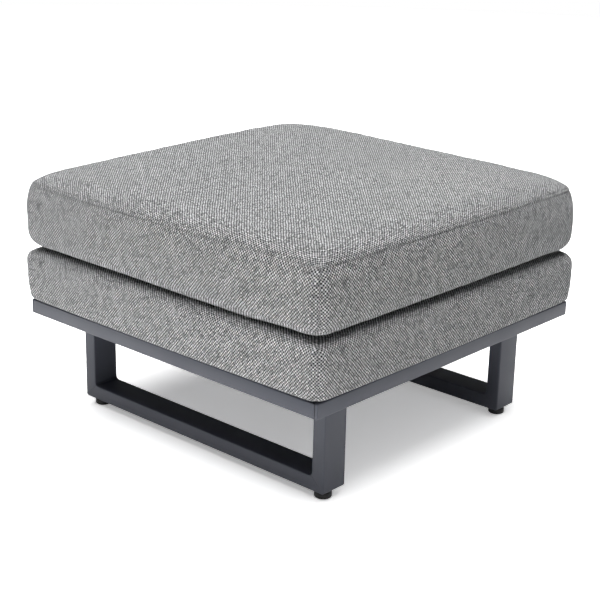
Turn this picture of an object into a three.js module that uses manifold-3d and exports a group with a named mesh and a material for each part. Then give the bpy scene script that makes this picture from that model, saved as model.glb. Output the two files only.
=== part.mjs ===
// Outdoor ottoman footstool: a powder-coated box-tube frame on two sled legs,
// with a base cushion and a loose seat cushion. Millimetres, +Z up, the front is -Y,
// and the origin lies on the floor under the middle of the frame.

import * as THREE from 'three';
import * as BufferGeometryUtils from 'three/addons/utils/BufferGeometryUtils.js';
import Module from 'manifold-3d';

const wasm = await Module();
wasm.setup();

// Seat frame: box tube laid flat and mitred at the corners
const FRAME_LENGTH = 660;
const FRAME_DEPTH = 660;
const TUBE_WIDE = 50;
const TUBE_THIN = 25;
const TUBE_WALL = 2;
const TUBE_EDGE_RADIUS = 3;

// Slats that carry the base cushion, between the two cross bars
const SLAT_COUNT = 4;
const SLAT_WIDTH = 45;
const SLAT_THICKNESS = 12;
const SLAT_WALL = 1.5;
const SLAT_EDGE_RADIUS = 2;

// Sled legs: each is a closed loop of the same tube, on two glides. Its ends lap under
// the side rails, and its outer side stands in from the front or back of the frame.
const SLED_HEIGHT = 162;
const SLED_END_LAP = 2;
const SLED_SIDE_INSET = 75;
const SLED_INNER_FILLET = 7;
const SLED_OUTER_RADIUS = 4;

// Screws that hold a sled to its cross bar
const BOLT_INSET = 90;
const BOLT_DIAMETER = 8;
const BOLT_ENGAGEMENT = 12;
const BOLT_HEAD_DIAMETER = 14;
const BOLT_HEAD_HEIGHT = 4.4;
const BOLT_HEAD_RIM = 1;
const SOCKET_ACROSS = 5;
const SOCKET_DEPTH = 2.6;
const WASHER_RIM = 5;
const WASHER_THICKNESS = 1.6;

// Blind rivet nuts, set in the tube wall for the screws and for the glides
const RIVET_NUT_WALL = 1.5;
const RIVET_NUT_LENGTH = 14;
const RIVET_NUT_FLANGE_RIM = 2;
const RIVET_NUT_FLANGE_THICKNESS = 1;

// Levelling glides: a moulded pad on a threaded stem
const GLIDE_HEIGHT = 15;
const GLIDE_DIAMETER = 28;
const GLIDE_NECK_STEP = 1.5;
const GLIDE_NECK_HEIGHT = 4;
const GLIDE_EDGE_RADIUS = 2.5;
const GLIDE_END_INSET = 20;
const GLIDE_SIDE_INSET = 22;
const PAD_FLOOR = 5.5;
const STEM_DIAMETER = 8;
const STEM_HEADROOM = 3;

// Both cushions
const FABRIC_THICKNESS = 1.5;
const SIDE_BOW = 3;

// Base cushion: its band leans out from the rail and rolls over at the top
const BASE_HEIGHT = 93;
const BASE_OVERHANG = 9;
const BASE_CORNER_RADIUS = 22;
const BASE_TUCK = 12;
const BASE_TUCK_RISE = 7;
const BASE_LEAN = 2.5;
const BASE_WIDEST = 48;
const BASE_ROLL = 55;
const BASE_ROLL_EXPONENT = 2.3;

// Seat cushion: rolled under at the bottom and drawn in to a sewn edge, above which
// the top panel rolls over the edge of the foam and rises in a crown
const SEAT_BAND_HEIGHT = 108;
const SEAT_OVERHANG = 9;
const SEAT_CORNER_RADIUS = 30;
const SEAT_ROLL = 35;
const SEAT_ROLL_EXPONENT = 1.5;
const SEAT_WIDEST = 56;
const SEAT_DRAW_IN = 8;
const SEAT_DRAW_IN_EXPONENT = 3;
const SEAM_DEPTH = 1.2;
const SEAM_RISE = 2.5;
const EDGE_RISE = 22;
const EDGE_REACH = 40;
const CROWN_RISE = 14;
const CORNER_GROWTH = 2;
const cornerLimitShare = 0.96;

// Zips in the rear bands
const ZIP_END_MARGIN = 50;
const ZIP_WIDTH = 9;
const SLIDER_LENGTH = 11;
const SLIDER_WIDTH = 7;
const SLIDER_THICKNESS = 2.7;
const PULL_LENGTH = 22;
const PULL_WIDTH = 5;
const PULL_THICKNESS = 1.4;
const PULL_HOLE = 2.4;

// Clearances
const WELD_GAP = 0.3;
const SEAT_GAP = 0.3;
const CUT_OVERRUN = 1;

// Facets
const EDGE_STEPS = 3;
const ROUND_STEPS = 16;
const SIDE_STEPS = 4;
const CORNER_STEPS = 5;
const ROLL_STEPS = 5;
const TUCK_STEPS = 2;
const EDGE_ROLL_STEPS = 4;
const leanShares = [0, 0.5];
const bandShares = [0, 0.6, 1];
const crownShares = [0.3, 0.6];

// Levels and lines that follow from the sizes above
const sledBottom = GLIDE_HEIGHT;
const sledTop = sledBottom + SLED_HEIGHT;
const railBottom = sledTop;
const railTop = railBottom + TUBE_THIN;
const baseBottom = railTop + SEAT_GAP;
const baseTop = baseBottom + BASE_HEIGHT;
const seatBottom = baseTop + SEAT_GAP;
const seatSeam = seatBottom + SEAT_BAND_HEIGHT;
const innerLength = FRAME_LENGTH - 2 * TUBE_WIDE;
const sledHalfLength = innerLength / 2 + SLED_END_LAP;
const sledLine = FRAME_DEPTH / 2 - SLED_SIDE_INSET - TUBE_WIDE / 2;
const boltReach = sledHalfLength - BOLT_INSET;
const glideReach = sledHalfLength - GLIDE_END_INSET;
const glideLine = FRAME_DEPTH / 2 - SLED_SIDE_INSET - GLIDE_SIDE_INSET;
const boltHole = BOLT_DIAMETER + 2 * SEAT_GAP;
const quarterTurn = Math.PI / 2;
const sides = [['front', -1], ['back', 1]];
const hands = [['left', -1], ['right', 1]];

const coat = { color: 0x54565f, roughness: 0.55, metalness: 0.35 };
const steel = { color: 0xb9bcc0, roughness: 0.35, metalness: 0.9 };
const blackPlastic = { color: 0x17181a, roughness: 0.6, metalness: 0 };
const cloth = { color: 0x8c8e8d, roughness: 0.95, metalness: 0 };
const foam = { color: 0xd8d2bd, roughness: 1, metalness: 0 };
const zipTape = { color: 0x4a4c4d, roughness: 0.9, metalness: 0 };

const ottoman = new THREE.Group();

function addPiece(name, geometry, finish, parent = ottoman) {
  const mesh = new THREE.Mesh(geometry, new THREE.MeshStandardMaterial(finish));
  mesh.name = name;
  parent.add(mesh);
  return mesh;
}

// Solids for cutting and joining
function toSolid(geometry) {
  const bare = geometry.clone();
  bare.deleteAttribute('normal');
  bare.deleteAttribute('uv');
  const merged = BufferGeometryUtils.mergeVertices(bare);
  return new wasm.Manifold(new wasm.Mesh({
    numProp: 3,
    vertProperties: new Float32Array(merged.attributes.position.array),
    triVerts: new Uint32Array(merged.index.array),
  }));
}

function toGeometry(solid) {
  const mesh = solid.getMesh();
  const geometry = new THREE.BufferGeometry();
  geometry.setAttribute('position', new THREE.BufferAttribute(mesh.vertProperties, mesh.numProp));
  geometry.setIndex(new THREE.BufferAttribute(mesh.triVerts, 1));
  return geometry;
}

function drill(x, y, zLow, zHigh, diameter, steps = ROUND_STEPS) {
  const cutter = new THREE.CylinderGeometry(diameter / 2, diameter / 2, zHigh - zLow, steps);
  cutter.rotateX(quarterTurn);
  cutter.translate(x, y, (zLow + zHigh) / 2);
  return toSolid(cutter);
}

// A body of revolution about Z, from points given as radius and height
function turned(points) {
  const profile = points.map(([radius, height]) => new THREE.Vector2(radius, height));
  const geometry = new THREE.LatheGeometry(profile, ROUND_STEPS);
  geometry.rotateX(quarterTurn);
  return geometry;
}

function roundedRectangle(target, width, height, radius) {
  const x = width / 2 - radius;
  const y = height / 2 - radius;
  target.absarc(x, -y, radius, -quarterTurn, 0);
  target.absarc(x, y, radius, 0, quarterTurn);
  target.absarc(-x, y, radius, quarterTurn, 2 * quarterTurn);
  target.absarc(-x, -y, radius, 2 * quarterTurn, 3 * quarterTurn);
  target.closePath();
  return target;
}

// A box tube along X with its section in YZ. At a mitred end it is cut back at 45
// degrees, from nothing at its low Y or low Z face to the full section at the other.
function tube(length, width, height, mitre, wall = TUBE_WALL, radius = TUBE_EDGE_RADIUS) {
  const section = roundedRectangle(new THREE.Shape(), width, height, radius);
  const x = width / 2 - wall;
  const y = height / 2 - wall;
  section.holes.push(new THREE.Path([
    new THREE.Vector2(-x, -y),
    new THREE.Vector2(-x, y),
    new THREE.Vector2(x, y),
    new THREE.Vector2(x, -y),
  ]));
  const geometry = new THREE.ExtrudeGeometry(section, {
    depth: length, bevelEnabled: false, curveSegments: EDGE_STEPS,
  });
  geometry.translate(0, 0, -length / 2);
  geometry.rotateY(quarterTurn);
  geometry.rotateX(quarterTurn);
  const place = geometry.attributes.position;
  for (let i = 0; i < place.count; i += 1) {
    const along = place.getX(i);
    const across = { none: 0, y: width / 2 + place.getY(i), z: height / 2 + place.getZ(i) }[mitre];
    place.setX(i, along - Math.sign(along) * (across + WELD_GAP / 2));
  }
  return geometry;
}

// Seat frame rails, each turned a quarter from the one before
function addRails() {
  const rails = [
    ['rail_front', FRAME_LENGTH, FRAME_DEPTH / 2],
    ['rail_right', FRAME_DEPTH, FRAME_LENGTH / 2],
    ['rail_back', FRAME_LENGTH, FRAME_DEPTH / 2],
    ['rail_left', FRAME_DEPTH, FRAME_LENGTH / 2],
  ];
  rails.forEach(([name, length, reach], turn) => {
    const geometry = tube(length, TUBE_WIDE, TUBE_THIN, 'y');
    geometry.translate(0, TUBE_WIDE / 2 - reach, railBottom + TUBE_THIN / 2);
    geometry.rotateZ(turn * quarterTurn);
    addPiece(name, geometry, coat);
  });
}

// Cross bars between the left and right rails, drilled for the rivet nuts of the sleds
function addCrossBar(place, side) {
  const geometry = tube(innerLength, TUBE_WIDE, TUBE_THIN, 'none');
  geometry.translate(0, side * sledLine, railBottom + TUBE_THIN / 2);
  let solid = toSolid(geometry);
  for (const [, end] of hands) {
    solid = solid.subtract(drill(end * boltReach, side * sledLine, railBottom - CUT_OVERRUN,
      railBottom + TUBE_WALL + CUT_OVERRUN, nutDiameter(BOLT_DIAMETER) + 2 * SEAT_GAP));
  }
  addPiece(`cross_bar_${place}`, toGeometry(solid), coat);
}

// Slats flush with the top of the rails, evenly spaced between the cross bars
function addSlats() {
  const pitch = 2 * sledLine / (SLAT_COUNT + 1);
  for (let i = 1; i <= SLAT_COUNT; i += 1) {
    const geometry = tube(innerLength, SLAT_WIDTH, SLAT_THICKNESS, 'none', SLAT_WALL, SLAT_EDGE_RADIUS);
    geometry.translate(0, pitch * i - sledLine, railTop - SLAT_THICKNESS / 2);
    addPiece(`seat_slat_${i}`, geometry, coat);
  }
}

// The outline of a sled seen from the front: it rounds the mitred corners of its tubes
function sledEnvelope(y) {
  const outline = roundedRectangle(new THREE.Shape(), 2 * sledHalfLength, SLED_HEIGHT, SLED_OUTER_RADIUS);
  const width = TUBE_WIDE + 2 * CUT_OVERRUN;
  const geometry = new THREE.ExtrudeGeometry(outline, {
    depth: width, bevelEnabled: false, curveSegments: EDGE_STEPS,
  });
  geometry.translate(0, 0, -width / 2);
  geometry.rotateX(quarterTurn);
  geometry.translate(0, y, (sledBottom + sledTop) / 2);
  return toSolid(geometry);
}

// The weld's fillet in an inner corner, as wide as the flat of the tube
function cornerFillet() {
  const outline = new THREE.Shape();
  outline.moveTo(-TUBE_WALL / 2, WELD_GAP);
  outline.lineTo(SLED_INNER_FILLET, WELD_GAP);
  outline.absarc(SLED_INNER_FILLET, SLED_INNER_FILLET + WELD_GAP, SLED_INNER_FILLET,
    -quarterTurn, -2 * quarterTurn, true);
  outline.lineTo(-TUBE_WALL / 2, SLED_INNER_FILLET + WELD_GAP);
  outline.closePath();
  const width = TUBE_WIDE - 2 * TUBE_EDGE_RADIUS;
  const geometry = new THREE.ExtrudeGeometry(outline, {
    depth: width, bevelEnabled: false, curveSegments: EDGE_STEPS,
  });
  geometry.translate(0, 0, -width / 2);
  geometry.rotateX(quarterTurn);
  return geometry;
}

// A leg of a sled with a fillet at its foot and at its top
function addSledLeg(place, side, hand, end) {
  const leg = tube(SLED_HEIGHT, TUBE_WIDE, TUBE_THIN, 'z');
  leg.rotateY(quarterTurn);
  leg.translate(TUBE_THIN / 2 - sledHalfLength, 0, 0);
  const lower = toSolid(cornerFillet().translate(TUBE_THIN - sledHalfLength, 0, TUBE_THIN - SLED_HEIGHT / 2));
  const upper = lower.mirror([0, 0, 1]);
  const atLeft = toSolid(leg).add(lower).add(upper);
  const solid = (end > 0 ? atLeft.mirror([1, 0, 0]) : atLeft)
    .translate([0, side * sledLine, sledBottom + SLED_HEIGHT / 2])
    .intersect(sledEnvelope(side * sledLine));
  addPiece(`sled_${place}_leg_${hand}`, toGeometry(solid), coat);
}

function addSled(place, side) {
  const y = side * sledLine;
  const foot = tube(2 * sledHalfLength, TUBE_WIDE, TUBE_THIN, 'z');
  foot.translate(0, y, sledBottom + TUBE_THIN / 2);
  const top = tube(2 * sledHalfLength, TUBE_WIDE, TUBE_THIN, 'z');
  top.rotateX(2 * quarterTurn);
  top.translate(0, y, sledTop - TUBE_THIN / 2);
  let footSolid = toSolid(foot).intersect(sledEnvelope(y));
  let topSolid = toSolid(top).intersect(sledEnvelope(y));
  for (const [, end] of hands) {
    footSolid = footSolid.subtract(drill(end * glideReach, side * glideLine, sledBottom - CUT_OVERRUN,
      sledBottom + TUBE_WALL + CUT_OVERRUN, nutDiameter(STEM_DIAMETER) + 2 * SEAT_GAP));
    topSolid = topSolid.subtract(drill(end * boltReach, y, sledTop - TUBE_THIN - CUT_OVERRUN,
      sledTop - TUBE_THIN + TUBE_WALL + CUT_OVERRUN, boltHole));
    topSolid = topSolid.subtract(drill(end * boltReach, y, sledTop - TUBE_WALL - CUT_OVERRUN,
      sledTop + CUT_OVERRUN, nutFlangeDiameter(BOLT_DIAMETER) + 2 * SEAT_GAP));
  }
  addPiece(`sled_${place}_foot`, toGeometry(footSolid), coat);
  addPiece(`sled_${place}_top`, toGeometry(topSolid), coat);
  for (const [hand, end] of hands) {
    addSledLeg(place, side, hand, end);
  }
}

// Button-head screw with a hexagon socket, standing head down
function screwGeometry() {
  const shank = BOLT_DIAMETER / 2;
  const head = BOLT_HEAD_DIAMETER / 2;
  const dome = BOLT_HEAD_HEIGHT - BOLT_HEAD_RIM;
  const length = WASHER_THICKNESS + TUBE_THIN + BOLT_ENGAGEMENT;
  const points = [[0, -BOLT_HEAD_HEIGHT]];
  for (let i = 1; i <= EDGE_STEPS; i += 1) {
    const angle = quarterTurn * i / EDGE_STEPS;
    points.push([head * Math.sin(angle), -BOLT_HEAD_RIM - dome * Math.cos(angle)]);
  }
  points.push([head, 0], [shank, 0], [shank, length], [0, length]);
  const socket = drill(0, 0, -BOLT_HEAD_HEIGHT - CUT_OVERRUN, SOCKET_DEPTH - BOLT_HEAD_HEIGHT,
    SOCKET_ACROSS / Math.cos(Math.PI / 6), 6);
  return toGeometry(toSolid(turned(points)).subtract(socket));
}

function washerGeometry() {
  const inner = boltHole / 2;
  const outer = inner + WASHER_RIM;
  return turned([[inner, 0], [inner, -WASHER_THICKNESS], [outer, -WASHER_THICKNESS], [outer, 0], [inner, 0]]);
}

function nutDiameter(thread) {
  return thread + 2 * SEAT_GAP + 2 * RIVET_NUT_WALL;
}

function nutFlangeDiameter(thread) {
  return nutDiameter(thread) + 2 * RIVET_NUT_FLANGE_RIM;
}

// Blind rivet nut: its flange lies under the wall, its body goes up through it
function rivetNutGeometry(thread) {
  const bore = thread / 2 + SEAT_GAP;
  const body = nutDiameter(thread) / 2;
  const flange = nutFlangeDiameter(thread) / 2;
  const low = -RIVET_NUT_FLANGE_THICKNESS;
  return turned([[bore, low], [flange, low], [flange, 0], [body, 0], [body, RIVET_NUT_LENGTH],
    [bore, RIVET_NUT_LENGTH], [bore, low]]);
}

function addSledFixing(place, side, hand, end) {
  const washerTop = sledTop - TUBE_THIN;
  const at = [end * boltReach, side * sledLine];
  addPiece(`sled_washer_${place}_${hand}`, washerGeometry(), steel).position.set(...at, washerTop);
  addPiece(`sled_bolt_${place}_${hand}`, screwGeometry(), steel)
    .position.set(...at, washerTop - WASHER_THICKNESS);
  addPiece(`sled_rivet_nut_${place}_${hand}`, rivetNutGeometry(BOLT_DIAMETER), steel)
    .position.set(...at, railBottom);
}

// Glide pad: a round moulding with a soft lower edge and a neck under the tube
function padGeometry() {
  const foot = GLIDE_DIAMETER / 2;
  const neck = foot - GLIDE_NECK_STEP;
  const bore = STEM_DIAMETER / 2 + SEAT_GAP;
  const flange = nutFlangeDiameter(STEM_DIAMETER) / 2 + SEAT_GAP;
  const top = GLIDE_HEIGHT - SEAT_GAP;
  const recess = top - RIVET_NUT_FLANGE_THICKNESS;
  const points = [[0, 0]];
  for (let i = 0; i <= EDGE_STEPS; i += 1) {
    const angle = quarterTurn * i / EDGE_STEPS;
    points.push([foot - GLIDE_EDGE_RADIUS * (1 - Math.sin(angle)),
      GLIDE_EDGE_RADIUS * (1 - Math.cos(angle))]);
  }
  points.push([foot, top - GLIDE_NECK_HEIGHT - GLIDE_NECK_STEP], [neck, top - GLIDE_NECK_HEIGHT],
    [neck, top], [flange, top], [flange, recess], [bore, recess], [bore, PAD_FLOOR], [0, PAD_FLOOR]);
  return turned(points);
}

function stemGeometry() {
  const low = PAD_FLOOR + SEAT_GAP - GLIDE_HEIGHT;
  const high = TUBE_THIN - TUBE_WALL - STEM_HEADROOM;
  const radius = STEM_DIAMETER / 2;
  return turned([[0, low], [radius, low], [radius, high], [0, high]]);
}

function addGlide(place, side, hand, end) {
  const at = [end * glideReach, side * glideLine];
  addPiece(`glide_pad_${place}_${hand}`, padGeometry(), blackPlastic).position.set(...at, 0);
  addPiece(`glide_stem_${place}_${hand}`, stemGeometry(), steel).position.set(...at, sledBottom);
  addPiece(`glide_rivet_nut_${place}_${hand}`, rivetNutGeometry(STEM_DIAMETER), steel)
    .position.set(...at, sledBottom);
}

// One level of a cushion: a rounded rectangle whose sides bow out between the corners.
// The rear side, which holds the zip, stays straight.
function cushionRing(halfLength, halfDepth, radius, bow, z) {
  const points = [];
  const bows = [0, bow, bow, bow];
  const corners = [[1, 1], [-1, 1], [-1, -1], [1, -1]]
    .map(([x, y]) => new THREE.Vector2(x * (halfLength - radius), y * (halfDepth - radius)));
  corners.forEach((corner, turn) => {
    const start = turn * quarterTurn;
    for (let i = 0; i <= CORNER_STEPS; i += 1) {
      const angle = start + quarterTurn * i / CORNER_STEPS;
      points.push([corner.x + radius * Math.cos(angle), corner.y + radius * Math.sin(angle), z]);
    }
    const next = corners[(turn + 1) % corners.length];
    const outward = new THREE.Vector2(Math.cos(start + quarterTurn), Math.sin(start + quarterTurn));
    for (let i = 1; i < SIDE_STEPS; i += 1) {
      const t = i / SIDE_STEPS;
      const out = radius + bows[turn] * (1 - (2 * t - 1) ** 2);
      const place = corner.clone().lerp(next, t).addScaledVector(outward, out);
      points.push([place.x, place.y, z]);
    }
  });
  return points;
}

// Skin over a stack of levels, closed by a fan at the bottom and a fan at the top
function loft(rings, peak) {
  const count = rings[0].length;
  const last = (rings.length - 1) * count;
  const bottomCentre = rings.length * count;
  const topCentre = bottomCentre + 1;
  const positions = [...rings.flat(), [0, 0, rings[0][0][2]], [0, 0, peak]].flat();
  const faces = [];
  for (let i = 0; i < count; i += 1) {
    const next = (i + 1) % count;
    for (let level = 0; level < last; level += count) {
      faces.push(level + i, level + next, level + count + next);
      faces.push(level + i, level + count + next, level + count + i);
    }
    faces.push(bottomCentre, next, i, topCentre, last + i, last + next);
  }
  const geometry = new THREE.BufferGeometry();
  geometry.setAttribute('position', new THREE.Float32BufferAttribute(positions, 3));
  geometry.setIndex(faces);
  return geometry;
}

// A cushion's profile is a list of levels from the bottom up. Each gives its height z,
// its inset from the widest line, and grow, how much its corners gain in radius.
function rolledLevels(zFlat, zWidest, reach, exponent, steps) {
  const levels = [];
  for (let i = 0; i < steps; i += 1) {
    const angle = quarterTurn * i / steps;
    levels.push({
      z: zWidest + (zFlat - zWidest) * Math.cos(angle),
      inset: reach * (1 - Math.sin(angle)) ** exponent,
      grow: 0,
    });
  }
  return levels;
}

function baseLevels() {
  const widest = baseBottom + BASE_WIDEST;
  const leanFoot = baseBottom + BASE_TUCK_RISE;
  const tuck = rolledLevels(baseBottom, leanFoot, BASE_TUCK, 1, TUCK_STEPS)
    .map(({ z, inset }) => ({ z, inset: inset + BASE_LEAN, grow: 0 }));
  const lean = leanShares.map((share) => ({
    z: leanFoot + (widest - leanFoot) * share, inset: BASE_LEAN * (1 - share) ** 2, grow: 0,
  }));
  const roll = rolledLevels(baseTop, widest, BASE_ROLL, BASE_ROLL_EXPONENT, ROLL_STEPS).reverse();
  return [...tuck, ...lean, { z: widest, inset: 0, grow: 0 }, ...roll];
}

function seatLevels() {
  const widest = seatBottom + SEAT_WIDEST;
  const bandTop = seatSeam - SEAM_RISE;
  const run = Math.min(FRAME_LENGTH, FRAME_DEPTH) / 2 + SEAT_OVERHANG - SEAT_DRAW_IN;
  const roll = rolledLevels(seatBottom, widest, SEAT_ROLL, SEAT_ROLL_EXPONENT, ROLL_STEPS);
  const band = bandShares.map((share) => ({
    z: widest + (bandTop - widest) * share,
    inset: SEAT_DRAW_IN * share ** SEAT_DRAW_IN_EXPONENT,
    grow: 0,
  }));
  const seam = { z: seatSeam, inset: SEAT_DRAW_IN + SEAM_DEPTH, grow: 0 };
  const crown = [];
  const addTop = (inset, edge) => crown.push({
    z: seatSeam + EDGE_RISE * edge + CROWN_RISE * (1 - (1 - inset / run) ** 2),
    inset: SEAT_DRAW_IN + inset,
    grow: CORNER_GROWTH * inset,
  });
  for (let i = 1; i <= EDGE_ROLL_STEPS; i += 1) {
    const angle = quarterTurn * i / (EDGE_ROLL_STEPS + 1);
    addTop(EDGE_REACH * (1 - Math.cos(angle)), Math.sin(angle));
  }
  addTop(EDGE_REACH, 1);
  crownShares.forEach((share) => addTop(run * share, 1));
  return [...roll, ...band, seam, ...crown];
}

// The same profile moved inwards by the thickness of what lies over it
function insideLevels(levels, skin) {
  const last = levels.length - 1;
  return levels.map((level, i) => {
    const below = levels[Math.max(i - 1, 0)];
    const above = levels[Math.min(i + 1, last)];
    const rise = i === 0 || i === last ? 0 : above.z - below.z;
    const outward = i === last ? -1 : (i === 0 ? 1 : below.inset - above.inset);
    const length = Math.hypot(rise, outward);
    return {
      z: level.z + skin * outward / length,
      inset: level.inset + skin * rise / length,
      grow: level.grow,
    };
  });
}

function cushionSolid({ overhang, radius, crown }, levels, skin) {
  const halfLength = FRAME_LENGTH / 2 + overhang;
  const halfDepth = FRAME_DEPTH / 2 + overhang;
  const inside = skin > 0 ? insideLevels(levels, skin) : levels;
  const rings = inside.map(({ z, inset, grow }) => {
    const x = halfLength - inset;
    const y = halfDepth - inset;
    const reach = x / halfLength;
    return cushionRing(x, y, Math.min(radius * reach + grow, cornerLimitShare * Math.min(x, y)),
      SIDE_BOW * reach, z);
  });
  return toSolid(loft(rings, crown - skin));
}

// Cover, foam core, zip and slider of one cushion. The zip closes a slot in the rear band.
function addCushion(name, form, levels, zipHeight) {
  const face = FRAME_DEPTH / 2 + form.overhang;
  const zipLength = FRAME_LENGTH + 2 * (form.overhang - form.radius - ZIP_END_MARGIN);
  const slot = (grow) => {
    const box = new THREE.BoxGeometry(zipLength + 2 * grow, form.radius, ZIP_WIDTH + 2 * grow);
    box.translate(0, face, zipHeight);
    return toSolid(box);
  };
  const skin = cushionSolid(form, levels, 0).subtract(cushionSolid(form, levels, FABRIC_THICKNESS));
  addPiece(`${name}_cover`, toGeometry(skin.subtract(slot(SEAT_GAP))), cloth);
  addPiece(`${name}_foam`, toGeometry(cushionSolid(form, levels, FABRIC_THICKNESS + SEAT_GAP)), foam);
  addPiece(`${name}_zip`, toGeometry(skin.intersect(slot(0))), zipTape);
  addPiece(`${name}_zip_slider`, sliderGeometry(), steel)
    .position.set((zipLength - SLIDER_LENGTH) / 2, face + SEAT_GAP, zipHeight);
}

// Zip slider with its pull hanging from it. Its back lies in the XZ plane.
function sliderGeometry() {
  const body = new THREE.BoxGeometry(SLIDER_LENGTH, SLIDER_THICKNESS, SLIDER_WIDTH);
  body.translate(0, SLIDER_THICKNESS / 2, 0);
  const pull = new THREE.BoxGeometry(PULL_WIDTH, PULL_THICKNESS, PULL_LENGTH);
  pull.translate(0, SLIDER_THICKNESS - PULL_THICKNESS / 2, -PULL_LENGTH / 2);
  const hole = new THREE.CylinderGeometry(PULL_HOLE / 2, PULL_HOLE / 2, 2 * SLIDER_THICKNESS, ROUND_STEPS);
  hole.translate(0, SLIDER_THICKNESS, PULL_WIDTH - PULL_LENGTH);
  return toGeometry(toSolid(body).add(toSolid(pull)).subtract(toSolid(hole)));
}

addRails();
addSlats();
for (const [place, side] of sides) {
  addCrossBar(place, side);
  addSled(place, side);
  for (const [hand, end] of hands) {
    addSledFixing(place, side, hand, end);
    addGlide(place, side, hand, end);
  }
}
addCushion('base_cushion', { overhang: BASE_OVERHANG, radius: BASE_CORNER_RADIUS, crown: baseTop },
  baseLevels(), baseBottom + BASE_WIDEST);
addCushion('seat_cushion', {
  overhang: SEAT_OVERHANG, radius: SEAT_CORNER_RADIUS, crown: seatSeam + EDGE_RISE + CROWN_RISE,
}, seatLevels(), seatBottom + SEAT_WIDEST);

export default ottoman;
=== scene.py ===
"""Looks of the outdoor ottoman: a powder coated frame, two woven cushions and their zips."""

import math

import bmesh
import bpy
import numpy as np
from bpy.props import FloatProperty, FloatVectorProperty, PointerProperty
from mathutils import Matrix, Vector, noise


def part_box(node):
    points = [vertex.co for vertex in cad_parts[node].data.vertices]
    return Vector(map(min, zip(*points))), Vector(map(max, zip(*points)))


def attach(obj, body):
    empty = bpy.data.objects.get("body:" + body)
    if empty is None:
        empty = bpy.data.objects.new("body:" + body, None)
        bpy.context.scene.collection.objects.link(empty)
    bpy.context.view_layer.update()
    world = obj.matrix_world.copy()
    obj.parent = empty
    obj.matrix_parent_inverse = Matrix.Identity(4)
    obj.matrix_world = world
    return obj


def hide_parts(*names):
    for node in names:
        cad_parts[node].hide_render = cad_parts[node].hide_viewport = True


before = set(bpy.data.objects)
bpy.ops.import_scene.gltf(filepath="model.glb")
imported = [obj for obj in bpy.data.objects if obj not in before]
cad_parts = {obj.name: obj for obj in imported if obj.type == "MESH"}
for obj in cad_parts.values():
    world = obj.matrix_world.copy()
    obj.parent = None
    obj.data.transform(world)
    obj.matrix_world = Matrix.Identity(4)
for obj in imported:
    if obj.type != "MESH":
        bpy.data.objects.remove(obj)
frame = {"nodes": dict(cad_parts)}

bl_info = {
    "name": "Outdoor ottoman",
    "version": (1, 0, 0),
    "blender": (4, 5, 0),
    "location": "View3D > Sidebar > Ottoman",
    "description": "Builds the frame, glides, cushions and studio of an outdoor ottoman",
    "category": "Object",
}

MM = 0.001
ORIGIN = Vector((0, 0, 0))
UP = Vector((0, 0, 1))
# Turns what was modelled flat to stand on its edge, its top towards the front
STAND = Matrix.Rotation(math.pi / 2, 4, "X")
# The four sides, in the order front, right, back, left: which way each runs and faces
RUNS = ((1, 0), (0, 1), (-1, 0), (0, -1))
FACES = ((0, -1), (1, 0), (0, 1), (-1, 0))
SIDES = ("front", "right", "back", "left")
FRONT, RIGHT = 0, 1
CORNERS = ((1, -1), (1, 1), (-1, 1), (-1, -1))
ENDS = (("front", "left"), ("front", "right"), ("back", "left"), ("back", "right"))
CUSHIONS = ("base_cushion", "seat_cushion")

# Edges sharper than this many degrees stay crisp on tubes and flat parts, on turned parts, on
# small metal parts, and on folded cloth
CRISP, CRISP_TURNED, CRISP_SMALL, CRISP_CLOTH = 40, 50, 35, 60

# Tubes
EDGE_SEGMENTS = 4
CORNER_SEGMENTS = 5
JOINT_GAP = 0.05 * MM
RAIL_JOINT_GAP = 0.35 * MM
JOINT_CHAMFER = 0.35 * MM
RAIL_JOINT_CHAMFER = 0.8 * MM
RAIL_JOINT_SHIFT = 3 * MM

# Screws and threads, M8. The crest of a thread lies between two shares of its pitch
SCREW_RADIUS = 4 * MM
SCREW_PITCH = 1.25 * MM
THREAD_DEPTH = 0.7 * MM
THREAD_CREST = (0.4, 0.6)
SOCKET_REACH = 2.5 * MM
SOCKET_DEPTH = 2.6 * MM
SOCKET_CONE = 0.4 * MM
SOCKET_MOUTH = 3.1 * MM
HEAD_RIM = 1 * MM
HEAD_EDGE = 0.2 * MM
WASHER_BORE = 4.3 * MM
WASHER_EDGE = 0.25 * MM

# Glide pads: the foot's round edge and its hollow, the step in to the neck, and small edges
GLIDE_EDGE = 2.5 * MM
GLIDE_HOLLOW = 0.5 * MM
GLIDE_STEP = 1.5 * MM
GLIDE_NECK = 4 * MM
GLIDE_SOFT = 0.2 * MM
GLIDE_RIM = 0.3 * MM

# Zips, across the back of each cushion
FOLD_WIDTH = 5 * MM
FOLD_DEPTH = 1.5 * MM
FOLD_RISE = 1.1 * MM
FOLD_GAP = 3.8 * MM
FOLD_CORNERS = (2.5 * MM, 1.2 * MM)
FOLD_EDGE = 0.6 * MM
FOLD_SEAM = 1.3 * MM
TAPE_SUNK = 0.4 * MM
TAPE_PROUD = 0.25 * MM
TOOTH = Vector((1.45, 3.1, 1.15)) * MM
TOOTH_EDGE = 0.25 * MM
TOOTH_SUNK = 0.15 * MM
TOOTH_PITCH = 2.7 * MM
TOOTH_STAGGER = 1.15 * MM
STOP_WIDTH, STOP_HEIGHT, STOP_EDGE = 2.6 * MM, 5.4 * MM, 0.4 * MM
STITCH = Vector((3.0, 0.75, 0.5)) * MM
STITCH_PITCH = 4.2 * MM

# Cushions. A cover is a cage of cells with some rows in its band; PROFILE_STEPS is how many
# points a curve of its section has. Corner radii are given at RADIUS_SHARES of the way up a side
CELLS = 84
BAND_CELLS = 26
PROFILE_STEPS = 64
RADIUS_SHARES = (0, 0.3, 0.8, 1)
ON_FACE = 1 - 1e-5
BOW = 3 * MM
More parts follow.
